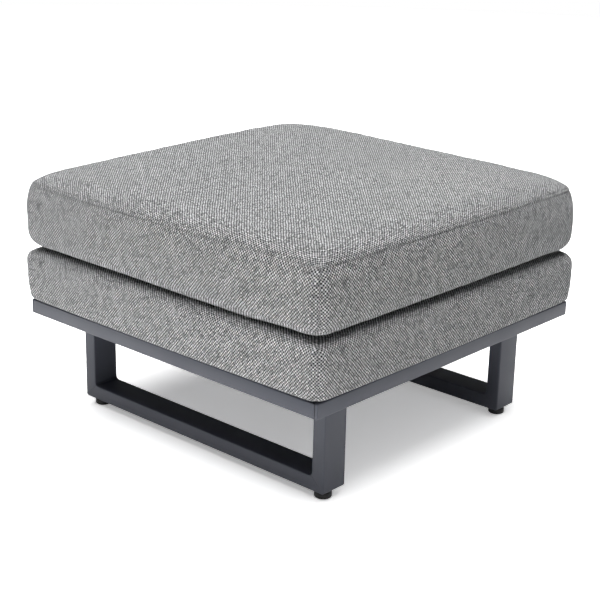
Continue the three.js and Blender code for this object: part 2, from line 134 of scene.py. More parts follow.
# A cover's flat coordinates come from one of its four sides, its top or its bottom
SECTOR_TOP, SECTOR_BOTTOM = 4, 5
RESTING_DEPTH = 3 * MM
REAR_DEPTH = 1 * MM
SETTLE_FRAMES = 20
SETTLE_CAP = 6 * MM
SETTLE_HOLD = 0.35
FABRIC = {"quality": 5, "mass": 0.4, "tension_stiffness": 20, "compression_stiffness": 20,
          "shear_stiffness": 8, "bending_stiffness": 1.0, "vertex_group_mass": "held",
          "pin_stiffness": 1.0, "use_pressure": True, "uniform_pressure_force": 4,
          "shrink_min": -0.012}

# Studio. The camera stands where the photograph was taken from, which a fit to it gave
FLOOR_RADIUS = 6
CAMERA_PLACE = (1.52281, -1.69264, 0.97013)
CAMERA_ANGLES = {"azimuth": 42.061, "elevation": 18.649, "roll": 1.205}
FOCAL_PIXELS, PICTURE_PIXELS, SENSOR_MM = 1380.14, 600, 36.0


# Meshes and pieces

def finish_piece(name, bm, material):
    """A scene object from a bmesh that is modelled in place."""
    mesh = bpy.data.meshes.new(name)
    bm.to_mesh(mesh)
    bm.free()
    mesh.shade_smooth()
    piece = bpy.data.objects.new(name, mesh)
    bpy.context.scene.collection.objects.link(piece)
    mesh.materials.append(material)
    return piece


def sharpen(piece, degrees):
    """Keeps the shading of edges sharper than this angle crisp."""
    bm = bmesh.new()
    bm.from_mesh(piece.data)
    limit = math.radians(degrees)
    for edge in bm.edges:
        edge.smooth = not (len(edge.link_faces) == 2 and edge.calc_face_angle() > limit)
    bm.to_mesh(piece.data)
    bm.free()


def declare(piece, body, nodes=()):
    """Says which body a piece rides on, and the frame nodes it stands for."""
    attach(piece, body)
    if nodes:
        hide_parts(*nodes)


def add_piece(name, bm, look, body, nodes=(), crisp=None):
    """A finished and declared piece. Its slot has its look's name."""
    piece = finish_piece(name, bm, finish(look))
    if crisp:
        sharpen(piece, crisp)
    declare(piece, body, nodes)


def dress_node(node, look):
    """Gives a frame node that stays in sight its own material."""
    frame["nodes"][node].data.materials.clear()
    frame["nodes"][node].data.materials.append(finish(look))


def box_of(*nodes):
    """Lowest and highest corner of several frame nodes."""
    corners = [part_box(node) for node in nodes]
    low = Vector(min(c[0][i] for c in corners) for i in range(3))
    high = Vector(max(c[1][i] for c in corners) for i in range(3))
    return low, high


def middle_of(low, high):
    """The upright axis of a box."""
    return Vector(((low.x + high.x) / 2, (low.y + high.y) / 2, 0))


def quarter(steps):
    """Angles from 0 to a quarter turn."""
    return [math.pi / 2 * i / steps for i in range(steps + 1)]


def soften(bm, edges, offset, segments, affect="EDGES"):
    """Rounds edges, or corners with VERTICES."""
    bmesh.ops.bevel(bm, geom=edges, offset=offset, segments=segments, profile=0.5, affect=affect,
                    material=-1)


def face_out(bm):
    bmesh.ops.recalc_face_normals(bm, faces=bm.faces)


def shift(bm, step):
    bmesh.ops.translate(bm, verts=bm.verts, vec=step)


def carry(bm, matrix):
    bmesh.ops.transform(bm, verts=bm.verts, matrix=matrix)


def cut(bm, point, outward, chamfer=0):
    """Removes what lies past a plane, closes the cut and softens its rim."""
    result = bmesh.ops.bisect_plane(
        bm, geom=bm.verts[:] + bm.edges[:] + bm.faces[:], plane_co=point, plane_no=outward,
        clear_outer=True)
    rim = [e for e in result["geom_cut"] if isinstance(e, bmesh.types.BMEdge)]
    bmesh.ops.edgeloop_fill(bm, edges=rim)
    if chamfer > 0:
        soften(bm, rim, chamfer, 2)


def straight_tube(low, high, along, radius, chamfer=JOINT_CHAMFER):
    """A box tube with rounded long edges and its ends lightly chamfered."""
    bm = bmesh.new()
    bmesh.ops.create_cube(bm, size=1)
    size = high - low
    carry(bm, Matrix.Translation((low + high) / 2) @ Matrix.Diagonal((*size, 1)))
    long_edges = [e for e in bm.edges if abs((e.verts[1].co - e.verts[0].co)[along]) > 0]
    soften(bm, long_edges, radius, EDGE_SEGMENTS)
    rims = [e for e in bm.edges if abs((e.verts[1].co - e.verts[0].co)[along]) < size[along] / 2]
    soften(bm, rims, chamfer, 2)
    face_out(bm)
    return bm


def tube_loop(half_a, half_b, wide, outer_radius, inner_radius, depth, edge_radius):
    """A rectangular loop of box tube in the XY plane, its middle at the origin."""
    bm = bmesh.new()
    for a, b, radius in ((half_a, half_b, outer_radius),
                         (half_a - wide, half_b - wide, inner_radius)):
        corners = [bm.verts.new((x * a, y * b, 0)) for x, y in CORNERS]
        for i in range(4):
            bm.edges.new((corners[i - 1], corners[i]))
        soften(bm, corners, radius, CORNER_SEGMENTS, "VERTICES")
    bmesh.ops.bridge_loops(bm, edges=bm.edges[:])
    grown = bmesh.ops.extrude_face_region(bm, geom=bm.faces[:])
    raised = [v for v in grown["geom"] if isinstance(v, bmesh.types.BMVert)]
    bmesh.ops.translate(bm, verts=raised, vec=(0, 0, depth))
    shift(bm, (0, 0, -depth / 2))
    face_out(bm)
    rims = [e for e in bm.edges if len(e.link_faces) == 2
            and abs(e.link_faces[0].normal.z - e.link_faces[1].normal.z) > 0.5]
    soften(bm, rims, edge_radius, EDGE_SEGMENTS)
    face_out(bm)
    return bm


def loop_side(loop, side, half_a, half_b, gap=JOINT_GAP, chamfer=JOINT_CHAMFER, moved=0):
    """One mitred side of a tube loop, as a bmesh of its own. The joints are moved towards the
    even sides, so that the odd ones keep the corners."""
    bm = loop.copy()
    run, face = Vector((*RUNS[side], 0)), Vector((*FACES[side], 0))
    cut(bm, ORIGIN, -face)
    for hand in (1, -1):
        outward = (run * hand - face).normalized()
        corner = run * hand + face
        back = gap + (moved if side % 2 == 0 else -moved)
        point = Vector((corner.x * half_a, corner.y * half_b, 0)) - outward * back
        cut(bm, point, outward, chamfer)
    face_out(bm)
    return bm


def blocks(places, size, bevel):
    """Small bevelled blocks in one mesh. Each place is a matrix."""
    bm = bmesh.new()
    for place in places:
        bmesh.ops.create_cube(bm, size=1, matrix=place @ Matrix.Diagonal((*size, 1)))
    soften(bm, bm.edges[:], bevel, 1)
    face_out(bm)
    return bm


def joined(*parts):
    """Several bmeshes as one."""
    bm = bmesh.new()
    for part in parts:
        mesh = bpy.data.meshes.new("part")
        part.to_mesh(mesh)
        part.free()
        bm.from_mesh(mesh)
        bpy.data.meshes.remove(mesh)
    return bm


def stitches(points, normals):
    """A row of thread stitches along a closed line on a surface."""
    points, normals = (np.vstack([a, a[:1]]) for a in (np.array(points), np.array(normals)))
    far = np.concatenate([[0], np.cumsum(np.linalg.norm(np.diff(points, axis=0), axis=1))])
    count = round(far[-1] / STITCH_PITCH)

    def at(values, places):
        return np.stack([np.interp(places, far, values[:, i]) for i in range(3)], axis=1)

    middles = (np.arange(count) + 0.5) * far[-1] / count
    ahead = at(points, middles + STITCH.x / 2) - at(points, middles - STITCH.x / 2)
    places = []
    for middle, run, out in zip(at(points, middles), ahead, at(normals, middles)):
        run, out = Vector(run).normalized(), Vector(out).normalized()
        across = out.cross(run).normalized()
        turn = Matrix((run, across, run.cross(across))).transposed().to_4x4()
        places.append(Matrix.Translation(Vector(middle)) @ turn)
    return blocks(places, STITCH, STITCH.z * 0.3)


def turned(profile, steps=48, place=ORIGIN):
    """A solid of revolution about a vertical axis. profile holds (radius, height) pairs."""
    bm = bmesh.new()
    verts = [bm.verts.new((radius, 0, height)) for radius, height in profile]
    edges = [bm.edges.new(pair) for pair in zip(verts, verts[1:])]
    bmesh.ops.spin(bm, geom=verts + edges, cent=ORIGIN, axis=UP, angle=math.tau, steps=steps,
                   use_merge=True)
    bmesh.ops.remove_doubles(bm, verts=bm.verts, dist=0.001 * MM)
    face_out(bm)
    shift(bm, place)
    return bm


def thread(low, high):
    """Profile points of a screw thread, as rings between two heights."""
    turns = round((high - low) / SCREW_PITCH)
    points = []
    for i in range(turns):
        z = low + (high - low) * i / turns
        points.append((SCREW_RADIUS - THREAD_DEPTH, z))
        points += [(SCREW_RADIUS, z + share * SCREW_PITCH) for share in THREAD_CREST]
    return points


# Materials

class Shader:
    """Short ways to add nodes to one material or world."""

    def __init__(self, owner):
        self.owner = owner
        owner.use_nodes = True
        self.tree = owner.node_tree
        self.tree.nodes.clear()

    def node(self, kind, inputs=None, **options):
        node = self.tree.nodes.new(kind)
        for key, value in options.items():
            setattr(node, key, value)
        for key, value in (inputs or {}).items():
            if isinstance(value, bpy.types.NodeSocket):
                self.tree.links.new(value, node.inputs[key])
            else:
                node.inputs[key].default_value = value
        return node

    def math(self, operation, *values):
        return self.node("ShaderNodeMath", dict(enumerate(values)), operation=operation).outputs[0]

    def times(self, first, *others):
        for other in others:
            first = self.math("MULTIPLY", first, other)
        return first

    def wave(self, value):
        return self.math("SINE", value)

    def remap(self, value, low, high, to_low=0.0, to_high=1.0, smooth=False):
        return self.node("ShaderNodeMapRange", {0: value, 1: low, 2: high, 3: to_low, 4: to_high},
                         interpolation_type="SMOOTHSTEP" if smooth else "LINEAR").outputs[0]

    def varied(self, grain, low, high):
        """Spreads the middle range of a noise between two values."""
        return self.remap(grain, 0.3, 0.7, low, high)

    def tint(self, colour, factor):
        """A colour made lighter or darker by a factor."""
        return self.node("ShaderNodeVectorMath", {0: colour, 3: factor},
                         operation="SCALE").outputs[0]

    def split(self, vector):
        return self.node("ShaderNodeSeparateXYZ", {0: vector}).outputs

    def joined(self, x, y):
        return self.node("ShaderNodeCombineXYZ", {0: x, 1: y}).outputs[0]

    def object_place(self):
        return self.node("ShaderNodeTexCoord").outputs["Object"]

    def noise(self, place, size, detail=2.0, roughness=0.5):
        """Noise whose grains are about this wide, from 0 to 1."""
        return self.node("ShaderNodeTexNoise", {
            "Vector": place, "Scale": 1 / size, "Detail": detail,
            "Roughness": roughness}).outputs[0]

    def bump(self, height, distance, strength=1.0, under=None):
        inputs = {"Height": height, "Distance": distance, "Strength": strength}
        if under is not None:
            inputs["Normal"] = under
        return self.node("ShaderNodeBump", inputs).outputs[0]

    def surface(self, **inputs):
        """Ends the material with one Principled shader."""
        named = {key.replace("_", " ").title().replace("Ior", "IOR"): value
                 for key, value in inputs.items()}
        shader = self.node("ShaderNodeBsdfPrincipled", named)
        self.node("ShaderNodeOutputMaterial", {"Surface": shader.outputs[0]})


def colour(name):
    return tuple(getattr(bpy.context.scene.ottoman_colours, name))


def powder_coat(s):
    """Satin polyester powder: a fine orange peel, and a slightly uneven film."""
    place = s.object_place()
    peel = s.noise(place, 1.6 * MM, 1.0)
    film = s.noise(place, 45 * MM, 3.0)
    grit = s.noise(place, 0.35 * MM, 0.0)
    shade = s.times(s.varied(film, 0.96, 1.04), s.varied(grit, 0.97, 1.03))
    s.surface(base_color=s.tint(colour("frame"), shade), roughness=s.varied(film, 0.48, 0.56),
              specular_ior_level=0.45, normal=s.bump(peel, 0.06 * MM, 0.5))


def zinc_steel(s):
    """Zinc plated steel: a soft grain, with light cloudy passivation."""
    place = s.object_place()
    cloud = s.noise(place, 6 * MM, 3.0)
    grain = s.noise(place, 0.25 * MM, 1.0)
    s.surface(base_color=s.tint(colour("steel"), s.varied(cloud, 0.86, 1.06)), metallic=1.0,
              roughness=s.varied(cloud, 0.27, 0.42), normal=s.bump(grain, 0.02 * MM, 0.5))


def glide_plastic(s):
    """Moulded black plastic with a fine spark texture."""
    place = s.object_place()
    spark = s.noise(place, 0.5 * MM)
    flow = s.noise(place, 9 * MM)
    s.surface(base_color=s.tint(colour("glide"), s.varied(flow, 0.9, 1.15)),
              roughness=s.varied(spark, 0.42, 0.6), normal=s.bump(spark, 0.05 * MM, 0.4))


def zip_tape(s):
    """Knitted polyester tape: fine ribs across a dark, slightly mottled ground, with painted light
    and shade on the ribs.
    """
    rib_pitch, course_pitch = 1.1 * MM, 0.8 * MM
    place = s.object_place()
    x, _, z = s.split(place)
    rib = s.wave(s.times(x, math.tau / rib_pitch))
    course = s.wave(s.times(z, math.tau / course_pitch))
    knit = s.times(s.remap(rib, -1.0, 1.0), s.remap(course, -1.0, 1.0, 0.4, 1.0))
    mottle = s.noise(place, 0.9 * MM)
    # Painted shade in the dips between the knit's ribs and courses and painted light on their
    # crests; the mottle is the tape's own tone
    shade = s.times(s.remap(knit, 0.0, 1.0, 0.6, 1.15), s.varied(mottle, 0.85, 1.15))
    s.surface(base_color=s.tint(colour("tape"), shade), roughness=0.9, specular_ior_level=0.25,
              normal=s.bump(knit, 0.15 * MM, 0.7))


def seam_thread(s):
    """Bonded polyester thread: two twisted strands, a little dull."""
    twist = s.noise(s.object_place(), 0.5 * MM)
    s.surface(base_color=s.tint(colour("thread"), s.varied(twist, 0.7, 1.3)), roughness=0.75,
              specular_ior_level=0.3, normal=s.bump(twist, 0.1 * MM, 0.6))


def cover_weave(s):
    """Plain weave of light warp and dark weft yarns, each crossing a pillow of its own. It
    follows the cover's flat coordinates. Painted shade darkens the dips between the pillows
    and the seam grooves where the seam attribute says, and painted shade and highlight run
    along the twisted strands."""
    sizes = bpy.context.scene.ottoman_sizes
    wander_size, strand_pitch, stretched = 10 * MM, 0.85 * MM, 0.11
    uv = s.node("ShaderNodeUVMap", uv_map="weave").outputs[0]
    across, up, _ = s.split(uv)
    # The yarns run a little crooked
    wander = s.split(s.node("ShaderNodeTexNoise", {
        "Vector": uv, "Scale": 1 / wander_size, "Detail": 1.0}).outputs["Color"])
    cell_u, cell_v = (
        s.math("ADD", s.math("DIVIDE", run, size), s.remap(off, 0.25, 0.75, -0.3, 0.3))
        for run, size, off in ((across, sizes.weave_across, wander[0]),
                               (up, sizes.weave_up, wander[1])))
    crossing = s.times(*(s.wave(s.times(cell, math.pi)) for cell in (cell_u, cell_v)))
    over = s.remap(crossing, -0.23, 0.03, smooth=True)
    pillow = s.math("POWER", s.math("ABSOLUTE", crossing), 0.55)
    # Each crossing has a fleck of its own, and each yarn is mottled along its run
    column, row = s.math("FLOOR", cell_u), s.math("FLOOR", cell_v)
    flecks = s.node("ShaderNodeTexWhiteNoise", {0: s.joined(column, row)}, noise_dimensions="2D")
    light_fleck, dark_fleck = flecks.outputs[0], s.split(flecks.outputs[1])[1]
    warp_melange = s.noise(s.joined(column, s.times(cell_v, stretched)), 1.0, 1.0)
    weft_melange = s.noise(s.joined(s.times(cell_u, stretched), row), 1.0, 1.0)
    light = s.tint(colour("light_yarn"), s.times(
        s.remap(warp_melange, 0.25, 0.75, 0.84, 1.12),
        s.remap(s.math("POWER", light_fleck, 0.6), 0.0, 1.0, 0.36, 1.2)))
    dark = s.tint(colour("dark_yarn"), s.times(
        s.remap(weft_melange, 0.25, 0.75, 0.4, 1.8), s.remap(dark_fleck, 0.5, 1.0, 0.6, 4.5)))
    yarn = s.node("ShaderNodeMix", {0: over, 6: dark, 7: light}, data_type="RGBA").outputs[2]
    # Loose fibres, and twisted strands that lean one way on the warp and the other on the weft
    fibre = s.noise(uv, 0.35 * MM, roughness=0.7)
    leans = [s.wave(s.times(s.math(operation, across, up), math.tau / strand_pitch))
             for operation in ("SUBTRACT", "ADD")]
    twist = s.node("ShaderNodeMix", {0: over, 2: leans[0], 3: leans[1]}).outputs[0]
    # The seam attribute is painted shade in the seam and corner grooves
    seam = s.node("ShaderNodeAttribute", attribute_name="seam").outputs["Fac"]
    # Painted shade in the dips between the yarn pillows and in the seam grooves, and painted shade
    # and highlight along the twisted strands; the fibres and a broad cloud vary the tone
    shade = s.times(
        s.remap(pillow, 0.0, 0.6, 0.6, 1.0),
        s.times(s.varied(fibre, 0.8, 1.2), s.remap(twist, -1.0, 1.0, 0.88, 1.12)),
        s.varied(s.noise(uv, 70 * MM), 0.965, 1.035), s.remap(seam, 0.0, 1.0, 1.0, 0.45))
    fluff = s.bump(fibre, 0.08 * MM, 0.5, s.bump(twist, 0.06 * MM, 0.5))
    s.surface(base_color=s.tint(yarn, shade), roughness=0.92, specular_ior_level=0.15,
              sheen_weight=0.06, sheen_roughness=0.5, normal=s.bump(pillow, 0.8 * MM, 0.7, fluff))


def studio_floor(s):
    """Matt paper. The camera sees it lifted, so that it runs into the white backdrop and keeps
    the object's shadow."""
    studio = bpy.context.scene.ottoman_studio
    bounce, pale = (s.node("ShaderNodeBsdfDiffuse", {"Color": (*shade, 1)}).outputs[0]
                    for shade in ([studio.floor_bounce] * 3, colour("floor")))
    path = s.node("ShaderNodeLightPath").outputs
    glow = s.node("ShaderNodeEmission", {
        "Strength": s.times(path["Is Camera Ray"], studio.floor_lift)}).outputs[0]
    twice = s.node("ShaderNodeAddShader", {0: pale, 1: pale}).outputs[0]
    lifted = s.node("ShaderNodeAddShader", {0: twice, 1: glow}).outputs[0]
    seen = s.math("MAXIMUM", path["Is Camera Ray"], path["Is Glossy Ray"])
    mixed = s.node("ShaderNodeMixShader", {0: seen, 1: bounce, 2: lifted}).outputs[0]
    s.node("ShaderNodeOutputMaterial", {"Surface": mixed})


LOOKS = {look.__name__: look for look in (powder_coat, zinc_steel, glide_plastic, zip_tape,
                                          seam_thread, cover_weave, studio_floor)}
made = {}


def finish(name):
    """The material of this name, made once."""
    if name not in made:
        made[name] = bpy.data.materials.new(name)
        LOOKS[name](Shader(made[name]))
    return made[name]


# Frame, glides and fixings

def add_tube(node, bm):
    add_piece(f"{node}_tube", bm, "powder_coat", "seat_frame", [node], CRISP)


def build_seat_frame():
    sizes = bpy.context.scene.ottoman_sizes
    rails = [f"rail_{side}" for side in SIDES]
    low, high = box_of(*rails)
    half = (high - low) / 2
    wide = high.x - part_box("rail_right")[0].x
    loop = tube_loop(half.x, half.y, wide, sizes.rail_corner, sizes.rail_corner, high.z - low.z,
                     sizes.tube_edge)
    for side, rail in enumerate(rails):
        bm = loop_side(loop, side, half.x, half.y, RAIL_JOINT_GAP, RAIL_JOINT_CHAMFER,
                       RAIL_JOINT_SHIFT)
        shift(bm, (low + high) / 2)
        add_tube(rail, bm)
    loop.free()
    for bar in ("cross_bar_front", "cross_bar_back"):
        add_tube(bar, straight_tube(*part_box(bar), 0, sizes.tube_edge))
    for slat in (f"seat_slat_{i}" for i in range(1, 5)):
        add_tube(slat, straight_tube(*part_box(slat), 0, sizes.slat_edge))


def build_sled_legs():
    sizes = bpy.context.scene.ottoman_sizes
    for place in ("front", "back"):
        parts = [f"sled_{place}_{part}" for part in ("foot", "leg_right", "top", "leg_left")]
        low, high = box_of(*parts)
        half = (high - low) / 2
        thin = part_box(parts[0])[1].z - low.z
        loop = tube_loop(half.x, half.z, thin, sizes.sled_corner, sizes.sled_fillet,
                         high.y - low.y, sizes.tube_edge)
        for side, part in enumerate(parts):
            bm = loop_side(loop, side, half.x, half.z)
            carry(bm, Matrix.Translation((low + high) / 2) @ STAND)
            add_tube(part, bm)
        loop.free()


def glide_profile(radius, top):
    """A pad with a hollow foot, a round edge and a narrower neck."""
    neck_radius, neck = radius - GLIDE_STEP, top - GLIDE_NECK
    shoulder = neck - GLIDE_STEP
    profile = [(0, GLIDE_HOLLOW), (radius * 0.45, GLIDE_HOLLOW), (radius * 0.5, 0)]
    profile += [(radius - GLIDE_EDGE * (1 - math.sin(angle)), GLIDE_EDGE * (1 - math.cos(angle)))
                for angle in quarter(8)]
    return profile + [
        (radius, shoulder - 0.6 * MM), (radius - 0.25 * MM, shoulder),
        (neck_radius + GLIDE_SOFT, neck - GLIDE_SOFT), (neck_radius, neck + GLIDE_SOFT),
        (neck_radius, top - GLIDE_RIM), (neck_radius - GLIDE_RIM, top), (0, top)]


def build_glides():
    for place, hand in ENDS:
        body = f"glide_{place}_{hand}"
        node = f"glide_pad_{place}_{hand}"
        low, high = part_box(node)
        pad = turned(glide_profile((high.x - low.x) / 2, high.z), 64, middle_of(low, high))
        add_piece(f"{node}_moulding", pad, "glide_plastic", body, [node], CRISP_TURNED)
        node = f"glide_stem_{place}_{hand}"
        low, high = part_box(node)
        profile = [(0, low.z), *thread(low.z, high.z - SCREW_PITCH),
                   (SCREW_RADIUS - THREAD_DEPTH, high.z), (0, high.z)]
        stem = turned(profile, 32, middle_of(low, high))
        add_piece(f"{node}_screw", stem, "zinc_steel", body, [node], CRISP_TURNED)
        dress_node(f"glide_rivet_nut_{place}_{hand}", "zinc_steel")


def socket_screw(low, high, seat):
    """Button head screw, its head down, with a hexagon socket. seat is where the head rests."""
    head, dome = (high.x - low.x) / 2, seat - HEAD_RIM - low.z
    first = math.asin(SOCKET_MOUTH / head)
    profile = [(0, low.z + SOCKET_DEPTH + SOCKET_CONE), (SOCKET_REACH, low.z + SOCKET_DEPTH),
               (SOCKET_REACH, low.z + HEAD_EDGE), (SOCKET_MOUTH, low.z)]
    for i in range(1, 11):
        angle = first + (math.pi / 2 - first) * i / 10
        profile.append((head * math.sin(angle),
                        seat - HEAD_RIM - dome * math.cos(angle) / math.cos(first)))
    profile += [(head, seat - HEAD_EDGE), (head - HEAD_EDGE, seat), (SCREW_RADIUS, seat),
                *thread(seat + SCREW_PITCH, high.z - SCREW_PITCH),
                (SCREW_RADIUS - THREAD_DEPTH, high.z), (0, high.z)]
    bm = turned(profile)
    for vert in bm.verts:
        reach = math.hypot(vert.co.x, vert.co.y)
        if 0 < reach < SOCKET_REACH + 0.1 * MM and vert.co.z < seat:
            turn = math.atan2(vert.co.y, vert.co.x) % (math.pi / 3) - math.pi / 6
            vert.co.xy /= math.cos(turn)
    shift(bm, middle_of(low, high))
    return bm


def build_fixings():
    """Screws, washers and rivet nuts that hold the sleds to the cross bars."""
    for place, hand in ENDS:
        node = f"sled_washer_{place}_{hand}"
        low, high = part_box(node)
        rim, edge = (high.x - low.x) / 2, WASHER_EDGE
        profile = [(WASHER_BORE, low.z + edge), (WASHER_BORE + edge, low.z), (rim - edge, low.z),
                   (rim, low.z + edge), (rim, high.z - edge), (rim - edge, high.z),
                   (WASHER_BORE + edge, high.z), (WASHER_BORE, high.z - edge),
                   (WASHER_BORE, low.z + edge)]
        washer = turned(profile, 64, middle_of(low, high))
        add_piece(f"{node}_disc", washer, "zinc_steel", "seat_frame", [node], CRISP)
        node = f"sled_bolt_{place}_{hand}"
        screw = socket_screw(*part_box(node), low.z)
        add_piece(f"{node}_screw", screw, "zinc_steel", "seat_frame", [node], CRISP_SMALL)
        dress_node(f"sled_rivet_nut_{place}_{hand}", "zinc_steel")


# Cushions

class Section:
    """Half section of a cushion from the middle of its bottom to the middle of its top.
    It holds inset, the distance in from the widest line, and the height, by arc length."""

    def __init__(self, points):
        self.inset = np.array([p[0] for p in points])
        self.z = np.array([p[1] for p in points])
        steps = np.hypot(np.diff(self.inset), np.diff(self.z))
        self.arc = np.concatenate([[0], np.cumsum(steps)])

    def at(self, arc):
        return np.interp(arc, self.arc, self.inset), np.interp(arc, self.arc, self.z)


def rolled(z_flat, z_widest, reach, exponent):
    """Points of a roll from its flat to its widest line."""
    return [(reach * (1 - math.sin(angle)) ** exponent,
             z_widest + (z_flat - z_widest) * math.cos(angle)) for angle in quarter(PROFILE_STEPS)]


def base_section(run, bottom, top):
    """The base cushion's half section, and where on it the band begins and ends."""
    foot, foot_reach, lean = bottom + 10 * MM, 12 * MM, 2.5 * MM
    widest, shoulder_reach, shoulder_power = bottom + 48 * MM, 55 * MM, 2.8
    points = [(run, bottom)]
    points += [(inset + lean, z) for inset, z in rolled(bottom, foot, foot_reach, 1)]
    for i in range(1, PROFILE_STEPS):
        share = i / PROFILE_STEPS
        points.append((lean * (1 - share) ** 2, foot + (widest - foot) * share))
    edge = len(points)
    points += rolled(top, widest, shoulder_reach, shoulder_power)[::-1] + [(run, top)]
    section = Section(points)
    return section, section.arc[PROFILE_STEPS // 2], section.arc[edge + PROFILE_STEPS * 5 // 8]


def seat_section(run, bottom):
    """The seat cushion's half section, and where on it the band begins and ends at the seam."""
    widest, hem_reach, hem_power = bottom + 56 * MM, 35 * MM, 1.65
    seam, draw = bottom + 108 * MM, 8 * MM
    reach, rise = 40 * MM, 22 * MM
    points = [(run, bottom)] + rolled(bottom, widest, hem_reach, hem_power)
    for i in range(1, PROFILE_STEPS):
        share = i / PROFILE_STEPS
        points.append((draw * share ** 3, widest + (seam - widest) * share))
    edge = len(points)
    points += [(draw + reach * (1 - math.cos(angle)), seam + rise * math.sin(angle))
               for angle in quarter(PROFILE_STEPS)]
    points.append((run, seam + rise))
    section = Section(points)
    return section, section.arc[PROFILE_STEPS // 2], section.arc[edge]


def cage(cells, levels):
    """A cube of unit half size with an even grid on every face."""
    bm = bmesh.new()
    bmesh.ops.create_cube(bm, size=2)
    upright = [e for e in bm.edges if abs(e.verts[0].co.z - e.verts[1].co.z) > 1]
    bmesh.ops.subdivide_edges(bm, edges=upright, cuts=levels - 1)
    level = [e for e in bm.edges if abs(e.verts[0].co.z - e.verts[1].co.z) < 0.5 / levels]
    bmesh.ops.subdivide_edges(bm, edges=level, cuts=cells - 1, use_grid_fill=True)
    bm.verts.ensure_lookup_table()
    return bm


def graded(first, last, near):
    """Places from first to last, one for each ring of a panel's cells. The first few are near
    distances from first, and the rest are even."""
    places = [first + n if last > first else first - n for n in near]
    rest = np.linspace(places[-1], last, CELLS // 2 - len(near) + 1)
    return np.array([first, *places[:-1], *rest])


def ring_places(t, half, radius, bow):
    """Where t, from -1 to 1 between the middles of two corners, falls on one side of a rounded
    square: the distance along the side, out from the middle and along the outline, and the
    angle that the outline has turned there."""
    straight = np.maximum(half - radius, 1e-9)
    s = t * (straight + radius * math.pi / 4)
    beyond = np.maximum(np.abs(s) - straight, 0) / np.maximum(radius, 1e-9)
    within = np.minimum(np.abs(s), straight)
    along = np.sign(s) * (within + radius * np.sin(beyond))
    out = half - radius + radius * np.cos(beyond) + bow * (1 - (within / straight) ** 2)
    return along, out, s, np.sign(s) * beyond


def near_corners(t, half):
    """Draws the columns next to each corner closer to it, for a fine seam there."""
    places = np.array([0, *(d * MM / half for d in (1.2, 3, 6.5, 12)), 1])
    columns = np.array([*(i * 2 / CELLS for i in range(5)), 1])
    return np.sign(t) * (1 - np.interp(1 - np.abs(t), columns, places))


def eased(share):
    """From 0 to 1, slow at both ends."""
    share = np.clip(share, 0, 1)
    return share * share * (3 - 2 * share)


def cushion_mesh(form):
    """Cushion cover: a cage bent round its section, with a woven cloth's own flat coordinates.
    The arrays give each vertex's arc length on the section, its place, and how far along its
    side it is from the nearest corner."""
    half, section = form["half"], form["section"]
    bm = cage(CELLS, BAND_CELLS)
    unit = np.array([v.co for v in bm.verts])
    count = len(unit)
    ring = np.max(np.abs(unit[:, :2]), axis=1)
    top, bottom = unit[:, 2] > ON_FACE, unit[:, 2] < -ON_FACE
    steps = np.rint((1 - ring) * (CELLS // 2)).astype(int)
    level = np.rint((unit[:, 2] + 1) / 2 * BAND_CELLS).astype(int)
    arc = form["band"][level]
    arc = np.where(top, form["top"][steps], np.where(bottom, form["bottom"][steps], arc))
    inset, z = section.at(arc)
    level_half = half - inset
    reach = level_half / half
    grow = form["growth"] * np.maximum(arc - form["band"][-1], 0)
    share = np.clip((arc - form["band"][0]) / (form["band"][-1] - form["band"][0]), 0, 1)
    radii = [np.interp(share, RADIUS_SHARES, form[end]) for end in ("front_radii", "back_radii")]
    corner = np.where(unit[:, 1] > 0, radii[1], radii[0])
    radius = np.clip(corner * reach + grow, 0, 0.94 * np.maximum(level_half, 0))
    bows = np.array([1, 1, 0, 1]) * BOW
    places, corner_gap = np.zeros((count, 3)), np.ones(count)
    flat, out_of = np.zeros((6, count, 2)), np.zeros((count, 2))
    for side in range(4):
        run, face = np.array(RUNS[side]), np.array(FACES[side])
        t = near_corners(np.clip(unit[:, :2] @ run / np.maximum(ring, 1e-9), -1, 1), half)
        along, out, s, turn = ring_places(t, level_half, radius, bows[side] * reach)
        on = unit[:, :2] @ face > ring - 1e-6
        places[on, :2] = along[on, None] * run + out[on, None] * face
        centred = np.abs(t) < 1e-9
        reach_to_corner = np.abs(s / np.where(centred, 1, t)) - np.abs(s)
        corner_gap[on] = np.where(centred, 1.0, reach_to_corner)[on]
        flat[side] = np.stack([s, arc], axis=1)
        out_of[on] = (np.sin(turn)[:, None] * run + np.cos(turn)[:, None] * face)[on]
    places[:, 2] = z
    # The crown rises inside the roll, and the back left corner is plumper
    x, y = places[:, 0] / half, places[:, 1] / half
    spread = (np.abs(x) ** 4 + np.abs(y) ** 4) ** 0.25
    crown = form["crown"] * np.maximum(1 - spread ** form["crown_power"], 0)
    edge = eased((arc - form["crown_from"]) / (form["crown_to"] - form["crown_from"]))
    places[:, 2] += crown * edge * (arc >= form["crown_from"])
    places[:, 2] += (places[:, 2] - section.z[0]) * form["plump"] * eased((y - x) / 2 / 0.9)
    flat[SECTOR_TOP] = flat[SECTOR_BOTTOM] = places[:, :2]
    extra = np.maximum(form["crown_to"] - arc, 0) - np.maximum(
        section.at(form["crown_to"])[0] - inset, 0)
    flat[SECTOR_TOP] += out_of * extra[:, None]
    for vert, place in zip(bm.verts, places):
        vert.co = place
    layer = bm.loops.layers.uv.new("weave")
    bm.verts.index_update()
    for face in bm.faces:
        middle = unit[[v.index for v in face.verts]].mean(axis=0)
        if form["wrapped"] or abs(middle[2]) < ON_FACE:
            sector = int(np.argmax([middle[0] * f[0] + middle[1] * f[1] for f in FACES]))
        else:
            sector = SECTOR_TOP
        if middle[2] < -ON_FACE:
            sector = SECTOR_BOTTOM
        for loop in face.loops:
            loop[layer].uv = flat[sector, loop.vert.index]
    face_out(bm)
    return bm, arc, places, corner_gap


